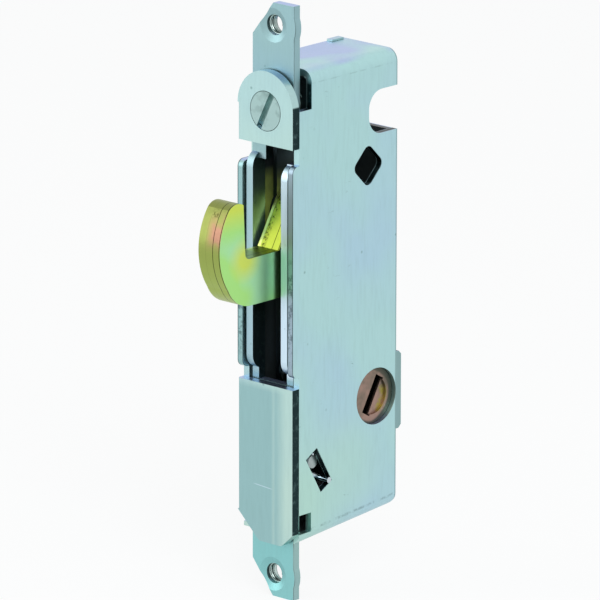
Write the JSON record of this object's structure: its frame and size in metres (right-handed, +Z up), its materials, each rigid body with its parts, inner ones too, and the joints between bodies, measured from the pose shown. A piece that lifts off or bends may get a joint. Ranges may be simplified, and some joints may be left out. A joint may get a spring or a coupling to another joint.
{
  "type": "sliding patio door lock",
  "caption": "Mortise lock for a sliding patio door: laminated hook swings out of a folded steel case, thrown by a keyway hub, its reach set by a slotted screw.",
  "frame": {"origin": "front of the face plate, midway between its two fixing holes", "axes": "+Z up along the face plate, -Y out of the door edge towards the keeper, +Y into the door, X across the case"},
  "size_m": [0.0126, 0.0402, 0.1012],
  "materials": {
    "face_steel": "satin zinc plate",
    "case_steel": "satin zinc plate, pale cyan",
    "inner_steel": "zinc plate",
    "pin_steel": "bright steel",
    "spring_steel": "spring wire",
    "screw_steel": "zinc plate",
    "hook_yellow": "yellow zinc dichromate on steel, iridescent",
    "hub_copper": "copper coloured plate on zinc casting"
  },
  "bodies": {
    "case": {"face_plate": "face_steel", "case_left": "case_steel", "case_right": "case_steel", "slide_guide_pins": "pin_steel", "hub_spring": "spring_steel", "spring_post": "pin_steel", "upper_post": "pin_steel", "rear_post": "pin_steel"},
    "hub": {"hub": "hub_copper", "hub_lever": "inner_steel", "hub_crank_pin": "pin_steel"},
    "slide_bar": {"slide_bar": "inner_steel"},
    "carriage": {"hook_carriage": "inner_steel", "adjusting_nut": "inner_steel", "hook_pivot_pin": "pin_steel"},
    "hook": {"hook_plate_left": "hook_yellow", "hook_plate_middle": "hook_yellow", "hook_plate_right": "hook_yellow", "hook_rivets": "pin_steel", "hook_drive_pin": "pin_steel"},
    "adjusting_screw": {"adjusting_screw": "screw_steel", "screw_clip": "spring_steel"}
  },
  "joints": [
    {"name": "hub_turn", "type": "hinge", "parent": "case", "child": "hub", "pos_m": [0, 0.0186, -0.01883], "axis": [1, 0, 0], "range_deg": [-90, 0]},
    {"name": "slide_travel", "type": "slide", "parent": "case", "child": "slide_bar", "axis": [0, 0, 1], "range_m": [0, 0.0099]},
    {"name": "adjusting_screw_turn", "type": "hinge", "parent": "case", "child": "adjusting_screw", "pos_m": [0, 0, 0.03273], "axis": [0, 1, 0], "range_deg": [-540, 540]},
    {"name": "carriage_slide", "type": "slide", "parent": "case", "child": "carriage", "axis": [0, 1, 0], "range_m": [-0.0012, 0.0012]},
    {"name": "hook_swing", "type": "hinge", "parent": "carriage", "child": "hook", "pos_m": [0, 0.007, 0.014], "axis": [1, 0, 0], "range_deg": [0, 90]}
  ],
  "couplings": [
    {"joint": "hub_turn", "follows": "slide_travel", "rad_per_m": -158.67},
    {"joint": "hook_swing", "follows": "slide_travel", "rad_per_m": 158.67},
    {"joint": "adjusting_screw_turn", "follows": "carriage_slide", "rad_per_m": -7853.9}
  ]
}
